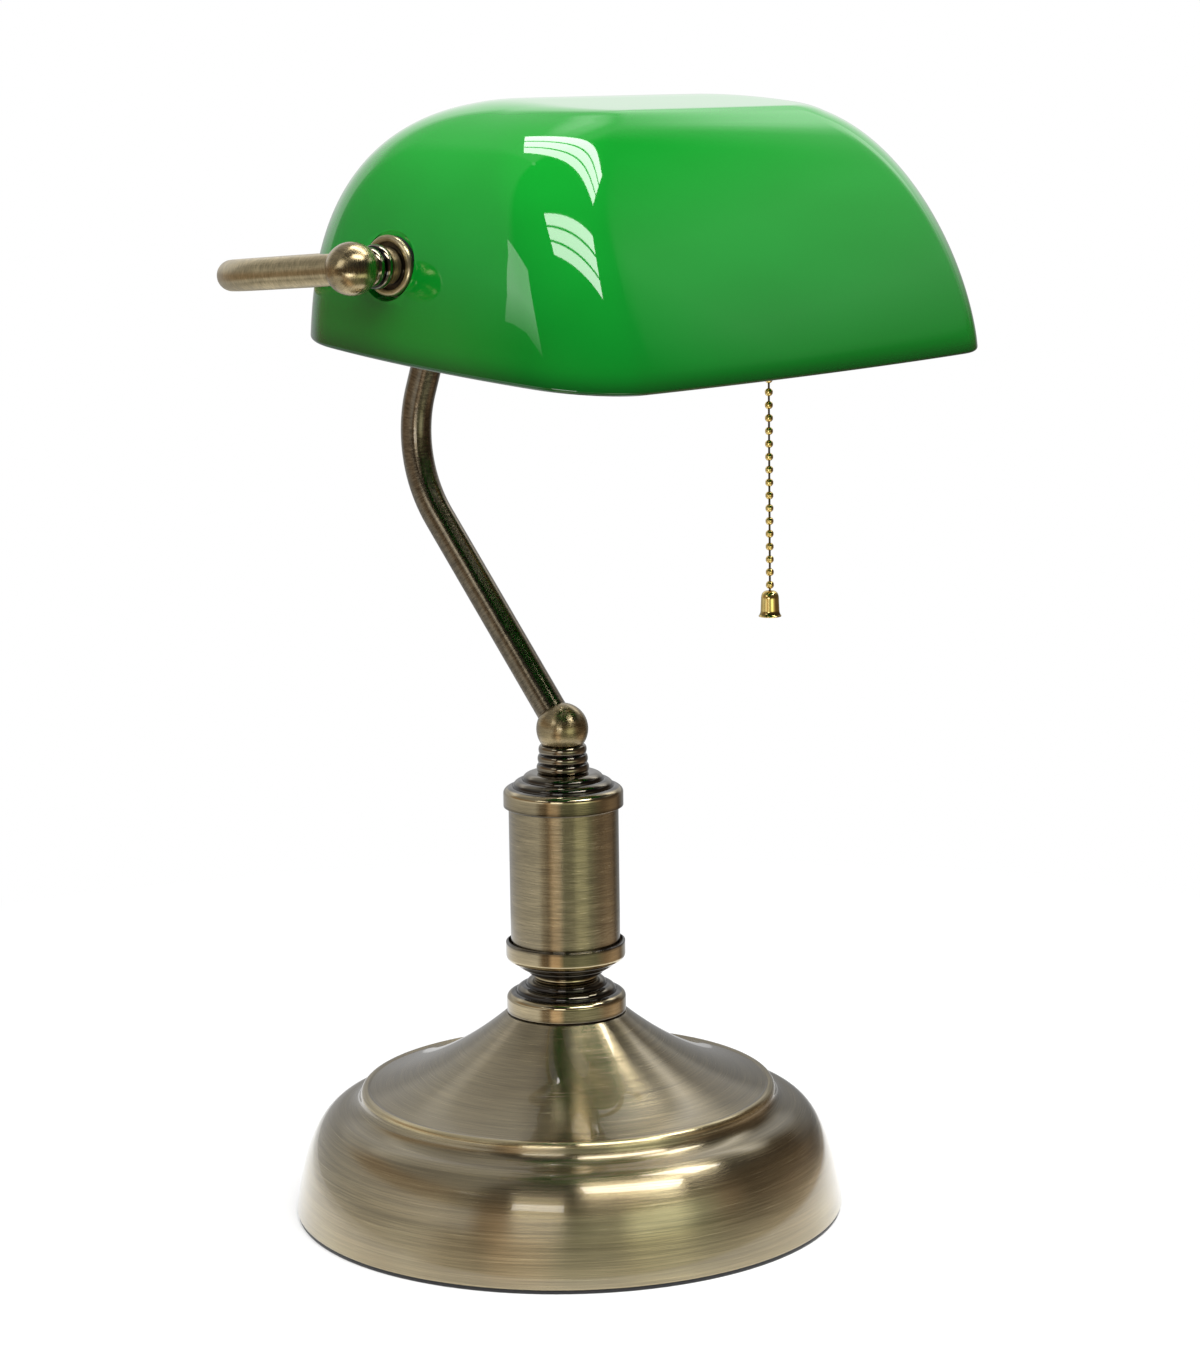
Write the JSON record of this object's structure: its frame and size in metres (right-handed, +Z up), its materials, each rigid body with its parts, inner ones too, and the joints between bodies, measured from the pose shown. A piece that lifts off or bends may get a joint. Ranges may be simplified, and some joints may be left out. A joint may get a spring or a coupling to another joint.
{
  "type": "bankers lamp",
  "caption": "Desk lamp with a round weighted base, stepped brass stem, bent arm and yoke, tilting green glass shade and pull-chain switch.",
  "frame": {"origin": "where the stem's axis meets the surface that the lamp stands on", "axes": "+Z up along the stem, +X along the shade towards the lamp holder and chain, -Y to the shade's front"},
  "size_m": [0.2576, 0.1909, 0.3559],
  "materials": {
    "felt": "black felt",
    "cast_iron": "raw casting",
    "aged_brass": "antique brass, brushed round, clear lacquer",
    "bright_brass": "polished",
    "steel": "zinc plated",
    "green_glass": "cased glass, green outside, white inside, glossy",
    "rubber": "matte",
    "black_plastic": "moulded",
    "lead_jacket": "cable jacket",
    "fibre_sleeve": "pressed fibre",
    "bulb_cap_metal": "rolled thread",
    "opal_glass": "opal"
  },
  "bodies": {
    "base": {"felt_pad": "felt", "base_shell": "aged_brass", "base_weight": "cast_iron", "cord_bushing": "black_plastic", "threaded_pipe": "steel", "pipe_washer": "steel", "pipe_nut": "steel", "foot_collar": "aged_brass", "waist_ring": "bright_brass", "lower_cup": "aged_brass", "column_tube": "aged_brass", "upper_cap": "aged_brass", "ribbed_neck": "aged_brass", "lead_in_stem": "lead_jacket"},
    "arm": {"arm_ball": "aged_brass", "snap_ring": "steel", "arm_tube": "aged_brass", "yoke_hub": "aged_brass", "yoke_tube": "aged_brass", "yoke_ball_left": "aged_brass", "yoke_ball_right": "aged_brass", "friction_washers": "steel", "lead_in_arm": "lead_jacket"},
    "shade_assembly": {"shade": "green_glass", "knob_neck_left": "aged_brass", "knob_neck_right": "aged_brass", "flange_left": "aged_brass", "flange_right": "aged_brass", "nipple_left": "steel", "nipple_right": "steel", "glass_gaskets": "rubber", "clamp_washer": "steel", "clamp_nut": "steel", "cap_locknut": "steel", "holder_cap": "bright_brass", "holder_shell": "bright_brass", "holder_sleeve": "fibre_sleeve", "switch_body": "black_plastic", "lever_pin": "steel", "screw_shell": "bright_brass", "centre_contact": "bright_brass", "chain_guide": "bright_brass", "lead_in_holder": "lead_jacket", "bulb_cap": "bulb_cap_metal", "bulb_glass": "opal_glass"},
    "switch_lever": {"switch_lever": "bright_brass"},
    "chain_top": {"chain_top": "bright_brass"},
    "chain_knuckle": {"chain_knuckle": "bright_brass"},
    "chain": {"pull_chain": "bright_brass", "chain_bell": "bright_brass"}
  },
  "joints": [
    {"name": "arm_swivel", "type": "hinge", "parent": "base", "child": "arm", "pos_m": [0, 0, 0.1571], "axis": [0, 0, 1], "range_deg": [-165, 165]},
    {"name": "shade_tilt", "type": "hinge", "parent": "arm", "child": "shade_assembly", "pos_m": [0, -0.0259, 0.3098], "axis": [1, 0, 0], "range_deg": [-35, 45]},
    {"name": "chain_pull", "type": "slide", "parent": "shade_assembly", "child": "chain_top", "axis": [0, 0, -1], "range_m": [0, 0.008], "stiffness_N_per_m": 300, "springref_m": -0.004},
    {"name": "lever_turn", "type": "hinge", "parent": "shade_assembly", "child": "switch_lever", "pos_m": [0.067, -0.0259, 0.3048], "axis": [0, 1, 0], "range_deg": [0, 48]},
    {"name": "chain_swing_front", "type": "hinge", "parent": "chain_top", "child": "chain_knuckle", "pos_m": [0.077, -0.0259, 0.2806], "axis": [1, 0, 0], "range_deg": [-45, 45]},
    {"name": "chain_swing_side", "type": "hinge", "parent": "chain_knuckle", "child": "chain", "pos_m": [0.077, -0.0259, 0.2806], "axis": [0, 1, 0], "range_deg": [-35, 35]}
  ],
  "couplings": [
    {"joint": "lever_turn", "follows": "chain_pull", "rad_per_m": 104}
  ]
}
